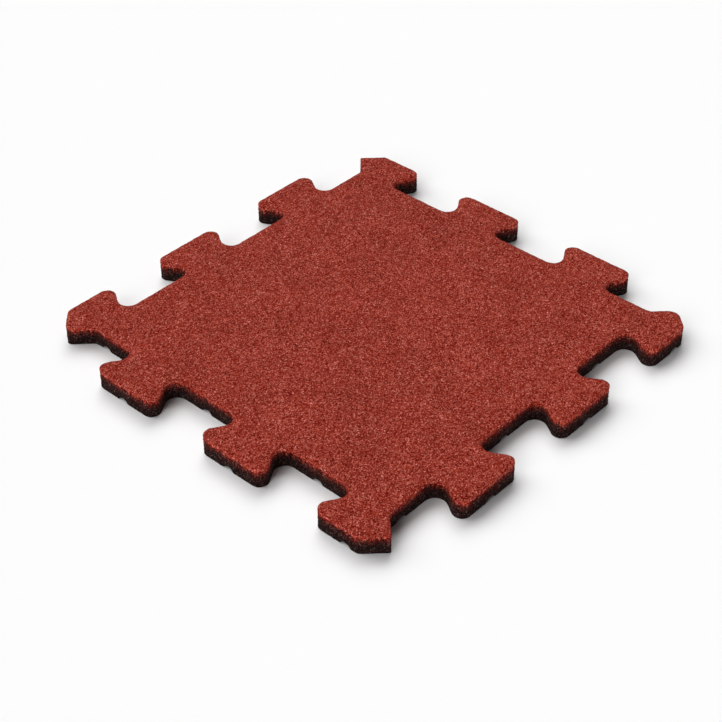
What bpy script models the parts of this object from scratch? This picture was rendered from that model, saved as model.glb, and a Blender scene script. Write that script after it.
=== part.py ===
"""Interlocking rubber tile: a red granulate wear layer moulded onto a thicker black granulate base.

Metres, +Z up. The origin is the middle of the underside, and the four sides are the same
side turned by quarter turns, so that tiles laid on a square grid lock into each other.
Only the corners' points differ, because two of them are left as sharp as they were cut.
"""

import math

import bmesh
import bpy
from mathutils import Matrix, Vector

# Laying grid and layers
PITCH = 0.500  # from tile to tile when laid
TILE_HEIGHT = 0.025
WEAR_DEPTH = 0.007
LAYER_GAP = 0.0003  # keeps the two layers' meshes apart

# Dovetail tabs and the sockets between them, alike on every side
TABS_PER_SIDE = 3
TAB_SPACING = PITCH / TABS_PER_SIDE
TAB_SHIFT = 0.0015  # tabs stand this far off even spacing, and twice this off the sockets' middles
TAB_REACH = 0.0240  # tab faces beyond the grid line
SOCKET_REACH = 0.0245  # socket floors inside the grid line
TAB_TIP_WIDTH = 0.109
TAB_NECK_WIDTH = 0.0465
CORNER_INSET = 0.0005  # corner points back from the grid's corners

# Rounding of the outline's corners
TAB_RADIUS = 0.011
SOCKET_RADIUS = 0.013
BEND_RADIUS = 0.009
POINT_RADII = (0.0015, 0.013, 0.0015, 0.006)  # front left, front right, back right, back left
ARC_STEP = math.radians(18)

# Drainage channels across the underside, one under each tab and each socket
CHANNEL_SPACING = TAB_SPACING / 2
CHANNELS_EACH_WAY = 2 * TABS_PER_SIDE
CHANNEL_WIDTH = 0.0145
CHANNEL_DEPTH = 0.0048
CHANNEL_STEPS = 6
CUTTER_OVERRUN = 0.010

HALF_PITCH = PITCH / 2
TOP_OF_BASE = TILE_HEIGHT - WEAR_DEPTH - LAYER_GAP

RED_GRANULATE = (0.275, 0.044, 0.031, 1.0)
BLACK_GRANULATE = (0.024, 0.015, 0.014, 1.0)


def clear_scene():
    for item in list(bpy.data.objects):
        bpy.data.objects.remove(item, do_unlink=True)


def rubber(name, colour, roughness):
    material = bpy.data.materials.new(name)
    material.use_nodes = True
    shader = material.node_tree.nodes["Principled BSDF"]
    shader.inputs["Base Color"].default_value = colour
    shader.inputs["Roughness"].default_value = roughness
    shader.inputs["Metallic"].default_value = 0.0
    return material


def side_corners(point_radius):
    """The front side's sharp corners, left to right, each with its rounding radius."""
    tab_face = -HALF_PITCH - TAB_REACH
    socket_floor = -HALF_PITCH + SOCKET_REACH
    half_tip = TAB_TIP_WIDTH / 2
    half_neck = TAB_NECK_WIDTH / 2
    first_tab = TAB_SHIFT - (TABS_PER_SIDE / 2 - 0.75) * TAB_SPACING

    # The corner's point and its 45 degree edge up to the first socket's floor
    corners = [
        (Vector((-HALF_PITCH, -HALF_PITCH + CORNER_INSET)), point_radius),
        (Vector((-HALF_PITCH + SOCKET_REACH - CORNER_INSET, socket_floor)), BEND_RADIUS),
    ]
    for index in range(TABS_PER_SIDE):
        middle = first_tab + index * TAB_SPACING
        corners.append((Vector((middle - half_neck, socket_floor)), SOCKET_RADIUS))
        corners.append((Vector((middle - half_tip, tab_face)), TAB_RADIUS))
        if index < TABS_PER_SIDE - 1:
            corners.append((Vector((middle + half_tip, tab_face)), TAB_RADIUS))
            corners.append((Vector((middle + half_neck, socket_floor)), SOCKET_RADIUS))

    # The last tab is cut at 45 degrees towards the next corner's point
    cut_start = HALF_PITCH - TAB_REACH - CORNER_INSET
    corners.append((Vector((cut_start, tab_face)), BEND_RADIUS))
    return corners


def corner_arc(before, corner, after, radius):
    """Points of the arc that rounds one corner of the outline."""
    to_before = (before - corner).normalized()
    to_after = (after - corner).normalized()
    half_angle = to_before.angle(to_after) / 2
    turn = math.pi - 2 * half_angle
    centre = corner + (to_before + to_after).normalized() * radius / math.sin(half_angle)
    start = corner + to_before * radius / math.tan(half_angle) - centre
    left_turn = (corner - before).cross(after - corner) > 0
    steps = max(2, math.ceil(turn / ARC_STEP))
    points = []
    for step in range(steps + 1):
        angle = turn * step / steps
        spin = Matrix.Rotation(angle if left_turn else -angle, 2)
        points.append(centre + spin @ start)
    return points


def tile_outline():
    """The whole outline, counter-clockwise seen from above."""
    corners = []
    for quarter, point_radius in enumerate(POINT_RADII):
        spin = Matrix.Rotation(quarter * math.pi / 2, 2)
        for corner, radius in side_corners(point_radius):
            corners.append((spin @ corner, radius))
    points = []
    for index, (corner, radius) in enumerate(corners):
        before = corners[index - 1][0]
        after = corners[(index + 1) % len(corners)][0]
        points.extend(corner_arc(before, corner, after, radius))
    return points


def extrude_loop(shape, points, travel):
    """Adds to a bmesh the solid swept by a flat loop of 3-D points along a vector."""
    face = shape.faces.new([shape.verts.new(point) for point in points])
    swept = bmesh.ops.extrude_face_region(shape, geom=[face], use_keep_orig=True)
    moved = [item for item in swept["geom"] if isinstance(item, bmesh.types.BMVert)]
    bmesh.ops.translate(shape, verts=moved, vec=travel)


def make_object(name, shape, material=None):
    bmesh.ops.recalc_face_normals(shape, faces=shape.faces)
    mesh = bpy.data.meshes.new(name)
    shape.to_mesh(mesh)
    shape.free()
    made = bpy.data.objects.new(name, mesh)
    bpy.context.scene.collection.objects.link(made)
    if material:
        mesh.materials.append(material)
    return made


def slab(name, bottom, top, material):
    shape = bmesh.new()
    rim = [Vector((point.x, point.y, bottom)) for point in tile_outline()]
    extrude_loop(shape, rim, Vector((0, 0, top - bottom)))
    return make_object(name, shape, material)


def channel_section():
    """Cross-section of one channel's cutter: an arc of CHANNEL_DEPTH over a skirt below the floor."""
    half_width = CHANNEL_WIDTH / 2
    radius = (half_width**2 + CHANNEL_DEPTH**2) / (2 * CHANNEL_DEPTH)
    half_arc = math.asin(half_width / radius)
    section = [(half_width, -CUTTER_OVERRUN)]
    for step in range(CHANNEL_STEPS + 1):
        angle = half_arc * (1 - 2 * step / CHANNEL_STEPS)
        section.append((radius * math.sin(angle), CHANNEL_DEPTH - radius + radius * math.cos(angle)))
    section.append((-half_width, -CUTTER_OVERRUN))
    return section


def channel_cutter(name, turn):
    """One set of parallel channel cutters, run along X and then turned about Z."""
    reach = HALF_PITCH + TAB_REACH + CUTTER_OVERRUN
    shape = bmesh.new()
    for index in range(CHANNELS_EACH_WAY):
        across = (index - (CHANNELS_EACH_WAY - 1) / 2) * CHANNEL_SPACING
        loop = [Vector((-reach, across + offset, height)) for offset, height in channel_section()]
        extrude_loop(shape, loop, Vector((2 * reach, 0, 0)))
    bmesh.ops.rotate(shape, verts=shape.verts, cent=(0, 0, 0), matrix=Matrix.Rotation(turn, 3, "Z"))
    cutter = make_object(name, shape)
    cutter.hide_render = True
    cutter.display_type = "WIRE"
    return cutter


def cut_with(target, cutter):
    cut = target.modifiers.new(cutter.name, "BOOLEAN")
    cut.operation = "DIFFERENCE"
    cut.object = cutter
    cut.solver = "EXACT"


def build_base_layer():
    base = slab("base_layer", 0.0, TOP_OF_BASE, rubber("black_granulate", BLACK_GRANULATE, 0.9))
    cut_with(base, channel_cutter("channels_along_x", 0.0))
    cut_with(base, channel_cutter("channels_along_y", math.pi / 2))
    return base


def build_wear_layer():
    bottom = TILE_HEIGHT - WEAR_DEPTH
    return slab("wear_layer", bottom, TILE_HEIGHT, rubber("red_granulate", RED_GRANULATE, 0.85))


def main():
    clear_scene()
    build_base_layer()
    build_wear_layer()


main()
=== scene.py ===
import math

import bmesh
import bpy
import numpy as np
from mathutils import Matrix, Vector
from mathutils.bvhtree import BVHTree
from mathutils.geometry import delaunay_2d_cdt
from mathutils.kdtree import KDTree


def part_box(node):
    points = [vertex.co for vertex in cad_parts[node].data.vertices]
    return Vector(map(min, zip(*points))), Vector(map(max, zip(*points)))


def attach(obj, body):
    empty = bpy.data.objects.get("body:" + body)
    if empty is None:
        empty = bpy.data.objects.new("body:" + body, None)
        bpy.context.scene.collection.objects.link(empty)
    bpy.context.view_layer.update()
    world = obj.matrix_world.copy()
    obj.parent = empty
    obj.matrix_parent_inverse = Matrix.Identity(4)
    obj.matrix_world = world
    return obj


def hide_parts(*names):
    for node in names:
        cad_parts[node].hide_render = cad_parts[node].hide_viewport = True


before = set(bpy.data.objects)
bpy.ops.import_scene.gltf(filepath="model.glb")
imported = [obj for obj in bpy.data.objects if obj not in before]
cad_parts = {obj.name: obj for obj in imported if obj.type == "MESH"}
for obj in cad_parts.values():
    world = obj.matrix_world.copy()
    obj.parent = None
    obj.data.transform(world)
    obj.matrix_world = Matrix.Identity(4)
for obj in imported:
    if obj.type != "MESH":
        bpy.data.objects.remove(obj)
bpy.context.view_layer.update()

mm = 0.001
bpy.context.scene.view_settings.view_transform = "Standard"
print("frame loaded:", sorted(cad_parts))


# Node trees: one wrapper for shader and geometry sockets

class Wire:
    def __init__(self, tree, socket=None):
        self.tree = tree
        self.socket = socket

    # Any node: its type, its settings, then the values or links of its sockets
    def node(self, kind, settings=None, sockets=None, output=0):
        made = self.tree.nodes.new(kind)
        for name, value in (settings or {}).items():
            if name == "stops":
                setStops(made.color_ramp, value)
            else:
                setattr(made, name, value)
        for name, value in (sockets or {}).items():
            if isinstance(value, Wire):
                self.tree.links.new(value.socket, made.inputs[name])
            else:
                made.inputs[name].default_value = value
        return Wire(self.tree, made.outputs[output] if len(made.outputs) else None)

    def math(self, operation, first, second):
        return self.node("ShaderNodeMath", {"operation": operation}, {0: first, 1: second})

    def __add__(self, other):
        return self.math("ADD", self, other)

    def __radd__(self, other):
        return self.math("ADD", other, self)

    def __sub__(self, other):
        return self.math("SUBTRACT", self, other)

    def __rsub__(self, other):
        return self.math("SUBTRACT", other, self)

    def __mul__(self, other):
        return self.math("MULTIPLY", self, other)

    def __rmul__(self, other):
        return self.math("MULTIPLY", other, self)


def setStops(ramp, stops):
    while len(ramp.elements) > 1:
        ramp.elements.remove(ramp.elements[-1])
    ramp.elements[0].position = stops[0][0]
    ramp.elements[0].color = (*stops[0][1], 1.0)
    for place, colour in stops[1:]:
        ramp.elements.new(place).color = (*colour, 1.0)


# Rubber granulate: each crumb of a granule has its own tone, and shade is painted into the pores between
# granules and towards each crumb's edge

granulateLook = {
    "redStops": [
        (0.00, (0.070, 0.001, 0.000)),
        (0.12, (0.150, 0.002, 0.000)),
        (0.30, (0.245, 0.012, 0.004)),
        (0.50, (0.333, 0.036, 0.020)),
        (0.70, (0.420, 0.068, 0.044)),
        (0.88, (0.580, 0.132, 0.096)),
        (1.00, (0.830, 0.305, 0.255)),
    ],
    "blackStops": [
        (0.00, (0.004, 0.001, 0.001)),
        (0.50, (0.020, 0.008, 0.007)),
        (0.85, (0.045, 0.023, 0.020)),
        (1.00, (0.190, 0.136, 0.125)),
    ],
    # How red a side is, by the height's part of the tile's 25 mm
    "fadeHeight": 25 * mm,
    "fadeStops": [
        (0.28, 0.000),
        (0.42, 0.056),
        (0.54, 0.165),
        (0.64, 0.350),
        (0.72, 0.560),
        (0.80, 0.900),
        (0.86, 1.000),
    ],
    "tuftScale": 370.0,  # tufts about 3 mm wide where the red thins out
    "tuftUpright": 0.22,  # their width as a part of their height
    "tuftDetail": 1.0,
    "tuftReach": 13.0 * mm,  # how far up and down the tufts move the fade
    "granuleReach": 1.8 * mm,  # the same for single granules
    "crumbScale": 900.0,  # crumbs of about 1.1 mm
    "crumbPart": 0.88,  # of the tone; the granule gives the rest
    "crumbBright": 1.25,  # brightness in the middle of a crumb
    "paintedCrumbEdgeShade": 0.70,  # and how fast it falls towards the crumb's edge, as painted shade between crumbs
    # painted shade in the pores between granules
    "paintedPoreShade": 0.40,
    "fadingDepth": 0.25,  # the red is deeper where it thins out
    "paintedSideLight": 0.60,  # painted light: the sides' red is made brighter than the top's, as if lit more strongly
    "mottleScale": 24.0,  # mottling of about 40 mm
    "mottleDetail": 1.0,
    "mottleShade": 0.33,
    "roughnessSpread": 0.12,
    "bumpHeight": 0.50 * mm,
    "specular": 0.05,
}


def granulateMaterial(name, roughness):
    look = granulateLook
    material = bpy.data.materials.new(name)
    material.use_nodes = True
    tree = material.node_tree
    shader = tree.nodes["Principled BSDF"]
    start = Wire(tree)
    tone = start.node("ShaderNodeAttribute", {"attribute_name": "tone"}, output="Fac")
    redness = start.node("ShaderNodeAttribute", {"attribute_name": "redness"}, output="Fac")
    groove = start.node("ShaderNodeAttribute", {"attribute_name": "groove"}, output="Fac")
    freshCut = start.node("ShaderNodeAttribute", {"attribute_name": "freshCut"}, output="Fac")
    place = start.node("ShaderNodeTexCoord", output="Object")
    crumbInputs = {"Vector": place, "Scale": look["crumbScale"]}
    crumbColour = place.node("ShaderNodeTexVoronoi", None, crumbInputs, "Color")
    crumbTone = crumbColour.node("ShaderNodeSeparateColor", None, {0: crumbColour})
    crumbEdge = place.node("ShaderNodeTexVoronoi", None, crumbInputs, "Distance")
    mottle = place.node("ShaderNodeTexNoise", None,
                        {"Vector": place, "Scale": look["mottleScale"], "Detail": look["mottleDetail"]})
    tone = tone * (1 - look["crumbPart"]) + crumbTone * look["crumbPart"]

    # On a side the red hangs down in ragged tufts, and each granule changes over a little higher or lower
    upright = place.node("ShaderNodeVectorMath", {"operation": "MULTIPLY"},
                         {0: place, 1: (1.0, 1.0, look["tuftUpright"])})
    tuft = place.node("ShaderNodeTexNoise", None,
                      {"Vector": upright, "Scale": look["tuftScale"], "Detail": look["tuftDetail"]})
    height = place.node("ShaderNodeSeparateXYZ", None, {0: place}, "Z")
    level = height + (tuft - 0.5) * look["tuftReach"] + (redness - 0.5) * look["granuleReach"]
    greyStops = [(part, (grey, grey, grey)) for part, grey in look["fadeStops"]]
    fade = level.node("ShaderNodeValToRGB", {"stops": greyStops}, {0: level * (1 / look["fadeHeight"])})
    redness = fade * freshCut + redness * (1 - freshCut)

    redTone = tone - (1 - redness) * look["fadingDepth"]
    red = tone.node("ShaderNodeValToRGB", {"stops": look["redStops"]}, {0: redTone})
    black = tone.node("ShaderNodeValToRGB", {"stops": look["blackStops"]}, {0: tone})
    colour = red.node("ShaderNodeMix", {"data_type": "RGBA"}, {0: redness, 6: black, 7: red}, 2)
    # Painted shade: darker in the pores between granules
    shade = 1 - groove * look["paintedPoreShade"]
    # Painted light: the red on the sides is brightened as if the sides were lit more strongly
    shade = shade * (1 + freshCut * redness * look["paintedSideLight"])
    # Painted shade: each crumb darker towards its edge
    shade = shade * (look["crumbBright"] - crumbEdge * look["paintedCrumbEdgeShade"])
    shade = shade * (1 - look["mottleShade"] / 2 + mottle * look["mottleShade"])
    colour = colour.node("ShaderNodeVectorMath", {"operation": "SCALE"}, {0: colour, "Scale": shade})
    normal = crumbEdge.node("ShaderNodeBump", None, {"Height": 1 - crumbEdge, "Distance": look["bumpHeight"]})
    dullness = crumbEdge * look["roughnessSpread"] + (roughness - look["roughnessSpread"] / 2)
    tree.links.new(colour.socket, shader.inputs["Base Color"])
    tree.links.new(dullness.socket, shader.inputs["Roughness"])
    tree.links.new(normal.socket, shader.inputs["Normal"])
    shader.inputs["Specular IOR Level"].default_value = look["specular"]
    return material


redGranulate = granulateMaterial("redGranulate", roughness=0.88)
blackGranulate = granulateMaterial("blackGranulate", roughness=0.90)
print("materials made")


# The tile's outline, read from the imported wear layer

outlineReading = {
    "mergeDistance": 0.01 * mm,
    "topTolerance": 0.1 * mm,
    "levelNormal": 0.9,
    "tangentReach": 0.8 * mm,
    "tipReach": 2.0 * mm,  # a tip turns by more than tipTurn within this distance either way
    "tipTurn": math.radians(60),
    "tipStep": 0.25 * mm,
}


def mergedNode(nodeName):
    shape = bmesh.new()
    shape.from_mesh(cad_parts[nodeName].data)
    bmesh.ops.remove_doubles(shape, verts=shape.verts, dist=outlineReading["mergeDistance"])
    shape.normal_update()
    return shape


# The corners of a node's top in order round it, by following the edges that have the top on one side only
def topOutline(nodeName):
    shape = mergedNode(nodeName)
    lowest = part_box(nodeName)[1].z - outlineReading["topTolerance"]
    following = {}
    for edge in shape.edges:
        flat = [face for face in edge.link_faces
                if face.normal.z > outlineReading["levelNormal"] and face.verts[0].co.z > lowest]
        if len(flat) == 1:
            loop = next(corner for corner in flat[0].loops if corner.edge == edge)
            following[loop.vert] = loop.link_loop_next.vert
    corner = max(following, key=lambda vert: vert.co.x + vert.co.y)
    points = [corner.co.xy[:]]
    step = following[corner]
    while step != corner:
        points.append(step.co.xy[:])
        step = following[step]
    shape.free()
    return np.array(points)


class Outline:
    def __init__(self, points):
        self.closed = np.vstack([points, points[:1]])  # counter-clockwise, back to its start
        steps = np.hypot(*np.diff(self.closed, axis=0).T)
        self.travel = np.concatenate([[0.0], np.cumsum(steps)])
        self.length = self.travel[-1]
        self.tips = self.sharpTips()

    # Middles of the sharp bends
    def sharpTips(self):
        reach, step = outlineReading["tipReach"], outlineReading["tipStep"]
        along = np.arange(0, self.length, step)
        back, here, ahead = (self.at(along + shift) for shift in (-reach, 0, reach))
        first, second = here - back, ahead - here
        cross = first[:, 0] * second[:, 1] - first[:, 1] * second[:, 0]
        turn = np.arctan2(cross, (first * second).sum(axis=1))
        sharp = along[np.abs(turn) > outlineReading["tipTurn"]]
        groups = np.split(sharp, np.flatnonzero(np.diff(sharp) > 2 * step) + 1)
        return [group.mean() for group in groups if len(group)]

    def at(self, distance):
        distance = np.mod(distance, self.length)
        return np.stack([np.interp(distance, self.travel, self.closed[:, axis]) for axis in (0, 1)], axis=1)

    # Points set back from the outline by a depth
    def inside(self, distance, depth):
        reach = outlineReading["tangentReach"]
        ahead = self.at(distance + reach) - self.at(distance - reach)
        ahead = ahead / np.hypot(*ahead.T)[:, None]
        outward = np.stack([ahead[:, 1], -ahead[:, 0]], axis=1)
        return self.at(distance) - outward * np.asarray(depth)[:, None]

    # Even stops round the outline, with the nearest ones moved onto the tips
    def stops(self, spacing):
        count = round(self.length / spacing)
        stops = np.arange(count) * self.length / count
        for tip in self.tips:
            stops[np.argmin(np.abs(stops - tip))] = tip
        return stops


# Whether each point lies inside a rim, by the rim's crossings to the point's right
def insideRim(points, rim):
    held = np.zeros(len(points), bool)
    x, y = points.T
    for (x1, y1), (x2, y2) in zip(rim, np.roll(rim, -1, axis=0)):
        if y1 != y2:
            crossing = (y1 > y) != (y2 > y)
            held ^= crossing & (x < (x2 - x1) * (y - y1) / (y2 - y1) + x1)
    return held


tileOutline = Outline(topOutline("wear_layer"))
print("outline read:", round(tileOutline.length, 3), "m round, with", len(tileOutline.tips), "sharp tips")


# Granule sheets: the middle of each granule is a peak, and the corners between granules are pits

granuleSheet = {
    "rimClearance": 0.42,  # of a granule, between the rim and the nearest seeds
    "cdtTolerance": 1e-9,
    # How deep in a pore each kind of point lies, which sets the painted shade there
    "topRimGroove": 0.2,
    "floorRimGroove": 0.3,
    "seamGroove": 0.3,
    "jointGroove": 0.6,
    "sidePitGroove": 0.7,
    "levelPitGroove": (0.45, 1.00),
}


# Rows of seeds, each row half a spacing along from the last, as in a grid of equal-sided triangles
def jitteredSeeds(low, high, spacing, jitter, random):
    rowStep = spacing * math.sqrt(0.75)
    columns = math.ceil((high[0] - low[0]) / spacing) + 1
    rows = math.ceil((high[1] - low[1]) / rowStep) + 1
    row, column = np.mgrid[0:rows, 0:columns]
    along = low[0] + (column + 0.5 * (row % 2)) * spacing
    grid = np.stack([along, low[1] + row * rowStep], axis=-1).reshape(-1, 2)
    return grid + random.uniform(-jitter, jitter, grid.shape) * spacing


def distanceTo(rim, points):
    tree = KDTree(len(rim))
    for index, point in enumerate(rim):
        tree.insert((point[0], point[1], 0.0), index)
    tree.balance()
    return np.array([tree.find((x, y, 0.0))[2] for x, y in points])


def seedsInside(rim, values, random):
    seeds = jitteredSeeds(rim.min(axis=0), rim.max(axis=0), values["granule"], values["jitter"], random)
    seeds = seeds[insideRim(seeds, rim)]
    return seeds[distanceTo(rim, seeds) > values["granule"] * granuleSheet["rimClearance"]]


# Most pits are shallow, and a few are deep
def pitDepths(count, values, random):
    shallow, deep = values["pitDepth"]
    return shallow + random.random(count) ** 2 * (deep - shallow)


# Delaunay triangles inside a rim, which is the first rimCount points
def trianglesInside(points, rimCount):
    rimEdges = [(index, (index + 1) % rimCount) for index in range(rimCount)]
    insideOnly = 1
    made = delaunay_2d_cdt([Vector(point) for point in points], rimEdges, [], insideOnly,
                           granuleSheet["cdtTolerance"])
    return np.array(made[2])


# Fans round every seed, from the Delaunay triangles' middles; also gives each triangle's seed
def fanTriangles(points, rimCount):
    triangles = trianglesInside(points, rimCount)
    middles = points[triangles].mean(axis=1)
    count = len(points)
    first = triangles.reshape(-1)
    second = np.roll(triangles, -1, axis=1).reshape(-1)
    owner = np.repeat(np.arange(len(triangles)), 3)
    key = first * count + second
    order = np.argsort(key)
    back = second * count + first
    found = np.clip(np.searchsorted(key[order], back), 0, len(key) - 1)
    twin = order[found]
    paired = key[twin] == back
    inner = np.stack([first, count + owner[twin], count + owner], axis=1)[paired]
    outer = np.stack([first, second, count + owner], axis=1)[~paired]
    faces = np.vstack([inner, outer])
    return middles, faces, faces[:, 0]


# One layer's closed skin: spread is 1 where loose chips may lie, and the fourth face value is 1 on the sides,
# where the red fades and gets painted light
class Skin:
    def __init__(self, name, material):
        self.name = name
        self.material = material
        self.points = np.zeros((0, 3))
        self.faces = np.zeros((0, 3), int)
        self.groove = np.zeros(0)
        self.faceValues = {label: np.zeros(0) for label in ("tone", "redness", "spread", "freshCut")}

    def addPoints(self, points, groove):
        start = len(self.points)
        self.points = np.vstack([self.points, points])
        self.groove = np.concatenate([self.groove, np.broadcast_to(groove, len(points))])
        return start + np.arange(len(points))

    def addFaces(self, faces, **given):
        self.faces = np.vstack([self.faces, faces])
        for label, held in self.faceValues.items():
            self.faceValues[label] = np.concatenate([held, np.broadcast_to(given[label], len(faces))])

    def finish(self):
        mesh = bpy.data.meshes.new(self.name)
        mesh.from_pydata(self.points.tolist(), [], self.faces.tolist())
        mesh.materials.append(self.material)
        layers = [(label, "FACE", values) for label, values in self.faceValues.items()]
        for label, domain, values in layers + [("groove", "POINT", self.groove)]:
            mesh.attributes.new(label, "FLOAT", domain).data.foreach_set("value", values.astype(np.float32))
        mesh.shade_smooth()
        mesh.validate()
        made = bpy.data.objects.new(self.name, mesh)
        bpy.context.scene.collection.objects.link(made)
        return made


# A level sheet inside a rim: height gives the surface at each point, and facing is 1 upwards and -1 downwards
def addLevelSheet(skin, rimIndices, values, height, facing, redness, random):
    rim = skin.points[rimIndices][:, :2]
    seeds = seedsInside(rim, values, random)
    flat = np.vstack([rim, seeds])
    middles, faces, owners = fanTriangles(flat, len(rim))
    peakDepth = random.uniform(*values["peakDepth"], len(seeds))
    pitDepth = pitDepths(len(middles), values, random)
    peaks = np.column_stack([seeds, height(seeds) - facing * peakDepth])
    pits = np.column_stack([middles, height(middles) - facing * pitDepth])
    groove = np.interp(pitDepth, values["pitDepth"], granuleSheet["levelPitGroove"])
    local = np.concatenate([rimIndices, skin.addPoints(peaks, 0.0), skin.addPoints(pits, groove)])
    faces = local[faces]
    if facing < 0:
        faces = faces[:, ::-1]
    tone = random.random(len(flat))
    skin.addFaces(faces, tone=tone[owners], redness=redness, spread=1.0 if facing > 0 else 0.0, freshCut=0.0)


# A side sheet between two rims that both go round the outline, laid out flat as distance by height
def addSideSheet(skin, lower, upper, values, random):
    length = tileOutline.length
    rims = []
    flat = []
    for indices, distance, height in (lower, upper):
        rims.append(np.append(indices, indices[0]))
        flat.append(np.column_stack([np.append(distance, length), np.append(height, height[0])]))
    seamCount = max(1, round((flat[1][0, 1] - flat[0][0, 1]) / values["granule"]) - 1)
    seamHeight = np.linspace(flat[0][0, 1], flat[1][0, 1], seamCount + 2)[1:-1]
    seamPlace = tileOutline.inside(np.zeros(seamCount), np.full(seamCount, values["pitDepth"][0]))
    seam = skin.addPoints(np.column_stack([seamPlace, seamHeight]), granuleSheet["seamGroove"])
    seamFlat = [np.column_stack([np.full(seamCount, along), seamHeight]) for along in (0.0, length)]

    # Both ends of the flat sheet share the seam's points, so the sheet closes round the tile
    border = np.vstack([flat[0], seamFlat[1], flat[1][::-1], seamFlat[0][::-1]])
    borderIndices = np.concatenate([rims[0], seam, rims[1][::-1], seam[::-1]])
    seeds = seedsInside(border, values, random)
    points = np.vstack([border, seeds])
    middles, faces, owners = fanTriangles(points, len(border))
    peakDepth = random.uniform(*values["peakDepth"], len(seeds))
    pitDepth = pitDepths(len(middles), values, random)
    peaks = skin.addPoints(np.column_stack([tileOutline.inside(seeds[:, 0], peakDepth), seeds[:, 1]]), 0.0)
    pits = skin.addPoints(np.column_stack([tileOutline.inside(middles[:, 0], pitDepth), middles[:, 1]]),
                          granuleSheet["sidePitGroove"])
    faces = np.concatenate([borderIndices, peaks, pits])[faces]
    tone = random.random(len(points))
    redness = random.random(len(points))
    spread = (points[:, 1] > values["chipsAbove"]).astype(float)
    skin.addFaces(faces, tone=tone[owners], redness=redness[owners], spread=spread[owners], freshCut=1.0)


# A plain closing face where the two layers meet
def addBondFace(skin, rimIndices, facing):
    rim = skin.points[rimIndices][:, :2]
    faces = rimIndices[trianglesInside(rim, len(rim))]
    if facing < 0:
        faces = faces[:, ::-1]
    skin.addFaces(faces, tone=0.5, redness=0.5, spread=0.0, freshCut=0.0)


# The joint between the layers, wavy and ragged
layerJoint = {
    "spacing": 2.2 * mm,
    "height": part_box("wear_layer")[0].z,
    "waviness": 0.9 * mm,
    "waveTurns": (61, 97, 151, 233),  # waves in one round of the outline
    "wavePhase": 6.28,
    "raggedness": 0.8 * mm,
    "inset": (0.25 * mm, 0.75 * mm),
}


def jointRim(random):
    values = layerJoint
    distance = tileOutline.stops(values["spacing"])
    angle = distance / tileOutline.length * 2 * math.pi
    waves = [np.sin(angle * turns + random.uniform(0, values["wavePhase"])) for turns in values["waveTurns"]]
    wave = sum(waves) / len(waves)
    ragged = random.uniform(-1, 1, len(distance)) * values["raggedness"]
    height = values["height"] + wave * values["waviness"] + ragged
    inset = random.uniform(*values["inset"], len(distance))
    return distance, height, np.column_stack([tileOutline.inside(distance, inset), height])


random = np.random.default_rng(31)
jointDistance, jointHeight, jointPoints = jointRim(random)


# Red layer

redLayer = {
    "granule": 3.1 * mm,
    "jitter": 0.32,
    "peakDepth": (0.10 * mm, 0.50 * mm),
    "pitDepth": (0.40 * mm, 1.05 * mm),
    "chipsAbove": 0.0,
    "rimSpacing": 2.8 * mm,
    "rimDrop": (0.0, 0.40 * mm),
    "rimInset": (0.10 * mm, 0.60 * mm),
    "crownReach": 9.0 * mm,
    "crownDrop": 1.6 * mm,
    "crownPower": 1.4,
    "crownStep": 0.5 * mm,
}


# The top rolls down a little towards its edge
def crownedTop(points):
    values = redLayer
    inwards = distanceTo(tileOutline.at(np.arange(0, tileOutline.length, values["crownStep"])), points)
    fall = np.clip(1 - inwards / values["crownReach"], 0, 1) ** values["crownPower"]
    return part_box("wear_layer")[1].z - values["crownDrop"] * fall


def buildRedLayer():
    values = redLayer
    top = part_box("wear_layer")[1].z - values["crownDrop"]
    skin = Skin("redGranulateLayer", redGranulate)
    distance = tileOutline.stops(values["rimSpacing"])
    height = top - random.uniform(*values["rimDrop"], len(distance))
    inset = random.uniform(*values["rimInset"], len(distance))
    place = tileOutline.inside(distance, inset)
    topRim = skin.addPoints(np.column_stack([place, height]), granuleSheet["topRimGroove"])
    bondRim = skin.addPoints(jointPoints, granuleSheet["jointGroove"])
    addLevelSheet(skin, topRim, values, crownedTop, 1, 1.0, random)
    addSideSheet(skin, (bondRim, jointDistance, jointHeight), (topRim, distance, height), values, random)
    addBondFace(skin, bondRim, -1)
    return skin.finish()


redGranulateLayer = buildRedLayer()
print("red layer:", len(redGranulateLayer.data.polygons), "triangles")


# Black layer with the drainage channels across its underside

blackLayer = {
    "granule": 3.5 * mm,
    "jitter": 0.32,
    "peakDepth": (0.05 * mm, 0.35 * mm),
    "pitDepth": (0.45 * mm, 1.10 * mm),
    "chipsAbove": 2.2 * mm,  # none at the foot of the sides
    "rimSpacing": 1.6 * mm,
    "rimLift": 0.15 * mm,
    "rimInset": (0.05 * mm, 0.30 * mm),
    "probeStart": -10 * mm,
}

undersideShape = mergedNode("base_layer")
undersideTree = BVHTree.FromBMesh(undersideShape)
undersideShape.free()


# Height of the solid's underside, channels included, found from below
def undersideHeights(points):
    start = blackLayer["probeStart"]
    return np.array([undersideTree.ray_cast((x, y, start), (0, 0, 1))[0].z for x, y in points])


def buildBlackLayer():
    values = blackLayer
    skin = Skin("blackGranulateLayer", blackGranulate)
    distance = tileOutline.stops(values["rimSpacing"])
    place = tileOutline.inside(distance, random.uniform(*values["rimInset"], len(distance)))
    height = undersideHeights(place) + random.uniform(0, values["rimLift"], len(distance))
    floorRim = skin.addPoints(np.column_stack([place, height]), granuleSheet["floorRimGroove"])
    bondRim = skin.addPoints(jointPoints, granuleSheet["jointGroove"])
    addLevelSheet(skin, floorRim, values, undersideHeights, -1, 0.0, random)
    addSideSheet(skin, (floorRim, distance, height), (bondRim, jointDistance, jointHeight), values, random)
    addBondFace(skin, bondRim, 1)
    return skin.finish()


blackGranulateLayer = buildBlackLayer()
print("black layer:", len(blackGranulateLayer.data.polygons), "triangles")


# Loose chips that stand a little proud of the layers, scattered by Geometry Nodes

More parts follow.
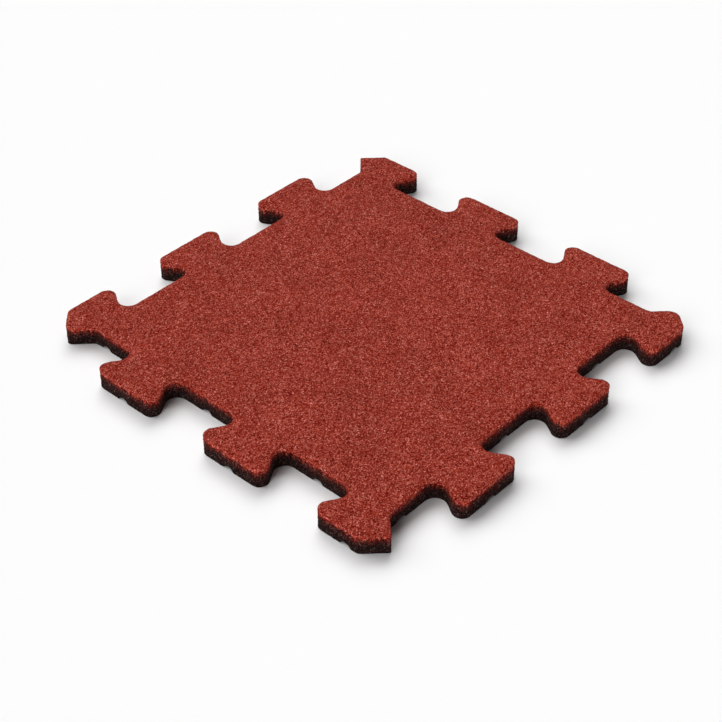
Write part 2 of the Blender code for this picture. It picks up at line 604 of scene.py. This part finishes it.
def chipTree():
    tree = bpy.data.node_groups.new("granuleChips", "GeometryNodeTree")
    tree.interface.new_socket("Geometry", in_out="INPUT", socket_type="NodeSocketGeometry")
    for label in ("Chips per square metre", "Smallest", "Largest", "Sink"):
        tree.interface.new_socket(label, in_out="INPUT", socket_type="NodeSocketFloat")
    tree.interface.new_socket("Seed", in_out="INPUT", socket_type="NodeSocketInt")
    tree.interface.new_socket("Material", in_out="INPUT", socket_type="NodeSocketMaterial")
    tree.interface.new_socket("Geometry", in_out="OUTPUT", socket_type="NodeSocketGeometry")
    start = Wire(tree)
    given = tree.nodes.new("NodeGroupInput")
    values = {socket.name: Wire(tree, socket) for socket in given.outputs if socket.name}
    seed = values["Seed"]

    # Points on the open faces, sunk a little below the surface
    spread = start.node("GeometryNodeInputNamedAttribute", {"data_type": "FLOAT"}, {"Name": "spread"})
    density = spread * values["Chips per square metre"]
    points = start.node("GeometryNodeDistributePointsOnFaces", {"distribute_method": "RANDOM"},
                        {"Mesh": values["Geometry"], "Density": density, "Seed": seed})
    normal = Wire(tree, points.socket.node.outputs["Normal"])
    offset = normal.node("ShaderNodeVectorMath", {"operation": "SCALE"},
                         {0: normal, "Scale": 0 - values["Sink"]})
    points = points.node("GeometryNodeSetPosition", None, {"Geometry": points, "Offset": offset})

    # One faceted chip, turned and stretched differently at every point
    wholeTurn = 6.283
    chip = start.node("GeometryNodeMeshIcoSphere", None, {"Radius": 1.0, "Subdivisions": 1})
    turn = start.node("FunctionNodeRandomValue", {"data_type": "FLOAT_VECTOR"},
                      {0: (0.0, 0.0, 0.0), 1: (wholeTurn, wholeTurn, wholeTurn), "Seed": seed + 1})
    lowest = start.node("ShaderNodeCombineXYZ", None, {axis: values["Smallest"] for axis in range(3)})
    highest = start.node("ShaderNodeCombineXYZ", None, {axis: values["Largest"] for axis in range(3)})
    size = start.node("FunctionNodeRandomValue", {"data_type": "FLOAT_VECTOR"},
                      {0: lowest, 1: highest, "Seed": seed + 2})
    chips = points.node("GeometryNodeInstanceOnPoints", None,
                        {"Points": points, "Instance": chip, "Rotation": turn, "Scale": size})

    # Each chip has its own tone and no painted pore shade, and takes the rest from the granule that it lies
    # on
    tone = start.node("FunctionNodeRandomValue", {"data_type": "FLOAT"},
                      {2: 0.0, 3: 1.0, "Seed": seed + 3}, 1)
    for name, value in (("tone", tone), ("groove", 0.0)):
        chips = chips.node("GeometryNodeStoreNamedAttribute", {"data_type": "FLOAT", "domain": "INSTANCE"},
                           {"Geometry": chips, "Name": name, "Value": value})
    chips = chips.node("GeometryNodeRealizeInstances", None, {"Geometry": chips})
    chips = chips.node("GeometryNodeSetMaterial", None, {"Geometry": chips, "Material": values["Material"]})
    tree.links.new(chips.socket, tree.nodes.new("NodeGroupOutput").inputs["Geometry"])
    return tree


redChips = {
    "Chips per square metre": 34000.0,
    "Smallest": 0.50 * mm,
    "Largest": 1.05 * mm,
    "Sink": 0.50 * mm,
    "Seed": 11,
}

blackChips = {
    "Chips per square metre": 62000.0,
    "Smallest": 0.55 * mm,
    "Largest": 1.20 * mm,
    "Sink": 0.50 * mm,
    "Seed": 47,
}


def scatterChips(tree, name, carrier, material, values):
    made = bpy.data.objects.new(name, carrier.data)
    bpy.context.scene.collection.objects.link(made)
    scatter = made.modifiers.new("granuleChips", "NODES")
    scatter.node_group = tree
    inputs = {**values, "Material": material}
    for item in tree.interface.items_tree:
        if item.in_out == "INPUT" and item.name in inputs:
            scatter[item.identifier] = inputs[item.name]
    evaluated = made.evaluated_get(bpy.context.evaluated_depsgraph_get())
    mesh = bpy.data.meshes.new_from_object(evaluated)
    made.modifiers.clear()
    made.data = mesh
    mesh.name = name
    print(name + ":", len(mesh.polygons), "triangles")
    return made


granuleChips = chipTree()
redGranuleChips = scatterChips(granuleChips, "redGranuleChips", redGranulateLayer, redGranulate, redChips)
blackGranuleChips = scatterChips(granuleChips, "blackGranuleChips", blackGranulateLayer, blackGranulate,
                                 blackChips)


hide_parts("wear_layer")
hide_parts("base_layer")
tilePieces = [redGranulateLayer, blackGranulateLayer, redGranuleChips, blackGranuleChips]
for piece in tilePieces:
    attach(piece, "root")


# Floor, light and camera

studio = {
    "floorSize": 30.0,
    "floorLevel": -0.2 * mm,
    "floorColour": (0.97, 0.97, 0.97),
    "skyStrength": 0.06,
    # Each soft light: azimuth, elevation and angular width in degrees, and its share on a level surface
    "softLights": {
        "leftLight": (185, 33, 35, 0.17),
        "backLight": (108, 46, 50, 0.380),
        "farLight": (45, 46, 40, 0.402),
        "leftFill": (186, 22, 40, 0.075),
        "nearFill": (245, 22, 40, 0.028),
        "frontFill": (290, 21, 40, 0.076),
    },
    # These lift the near sides and leave the floor's shadow alone
    "tileOnlyLights": ["leftFill", "nearFill", "frontFill"],
}

# Where the photograph was taken from: metres from the aim, and the lens and sensor in millimetres
photoView = {
    "azimuth": math.radians(-47.479),
    "elevation": math.radians(38.551),
    "roll": math.radians(-0.232),
    "distance": 1.8617,
    "aim": (-0.044869, -0.021216, 0.0),
    "lens": 81.72,
    "sensor": 36.0,
    "clip": (0.05, 100.0),
}


def buildStudio():
    half = studio["floorSize"] / 2
    corners = [(-half, -half), (half, -half), (half, half), (-half, half)]
    mesh = bpy.data.meshes.new("studioFloor")
    mesh.from_pydata([(x, y, studio["floorLevel"]) for x, y in corners], [], [(0, 1, 2, 3)])
    material = bpy.data.materials.new("studioFloor")
    material.use_nodes = True
    shader = material.node_tree.nodes["Principled BSDF"]
    shader.inputs["Base Color"].default_value = (*studio["floorColour"], 1.0)
    shader.inputs["Roughness"].default_value = 1.0
    shader.inputs["Specular IOR Level"].default_value = 0.0
    mesh.materials.append(material)
    floor = bpy.data.objects.new("studioFloor", mesh)
    bpy.context.scene.collection.objects.link(floor)

    # The sky gives little light, and stands white behind the floor's edge
    world = bpy.data.worlds.new("studioSky")
    bpy.context.scene.world = world
    world.use_nodes = True
    white = (1.0, 1.0, 1.0, 1.0)
    start = Wire(world.node_tree)
    seen = start.node("ShaderNodeLightPath", output="Is Camera Ray")
    sky = start.node("ShaderNodeBackground", None, {"Color": white, "Strength": studio["skyStrength"]})
    backdrop = start.node("ShaderNodeBackground", None, {"Color": white, "Strength": 1.0})
    mixed = start.node("ShaderNodeMixShader", None, {0: seen, 1: sky, 2: backdrop})
    world.node_tree.links.new(mixed.socket, world.node_tree.nodes["World Output"].inputs["Surface"])

    for name, (azimuth, elevation, width, share) in studio["softLights"].items():
        azimuth, elevation = math.radians(azimuth), math.radians(elevation)
        light = bpy.data.lights.new(name, "SUN")
        light.energy = share * math.pi / math.sin(elevation)
        light.angle = math.radians(width)
        towards = Vector((math.cos(azimuth), math.sin(azimuth), math.tan(elevation)))
        lamp = bpy.data.objects.new(name, light)
        lamp.rotation_euler = towards.to_track_quat("Z", "Y").to_euler()
        bpy.context.scene.collection.objects.link(lamp)
    lit = bpy.data.collections.new("tileOnly")
    for piece in tilePieces:
        lit.objects.link(piece)
    for name in studio["tileOnlyLights"]:
        bpy.data.objects[name].light_linking.receiver_collection = lit


def buildCamera():
    values = photoView
    azimuth, elevation, roll = values["azimuth"], values["elevation"], values["roll"]
    level = math.cos(elevation)
    back = Vector((math.sin(azimuth) * level, -math.cos(azimuth) * level, math.sin(elevation)))
    right = (-back).cross(Vector((0, 0, 1))).normalized()
    down = (-back).cross(right)
    turnedRight = math.cos(roll) * right - math.sin(roll) * down
    turnedDown = math.sin(roll) * right + math.cos(roll) * down
    camera = bpy.data.cameras.new("photoCamera")
    camera.lens = values["lens"]
    camera.sensor_width = values["sensor"]
    camera.clip_start, camera.clip_end = values["clip"]
    holder = bpy.data.objects.new("photoCamera", camera)
    turn = Matrix((turnedRight, -turnedDown, back)).transposed().to_4x4()
    holder.matrix_world = Matrix.Translation(Vector(values["aim"]) + back * values["distance"]) @ turn
    bpy.context.scene.collection.objects.link(holder)
    bpy.context.scene.camera = holder


buildStudio()
buildCamera()
print("studio and camera made")
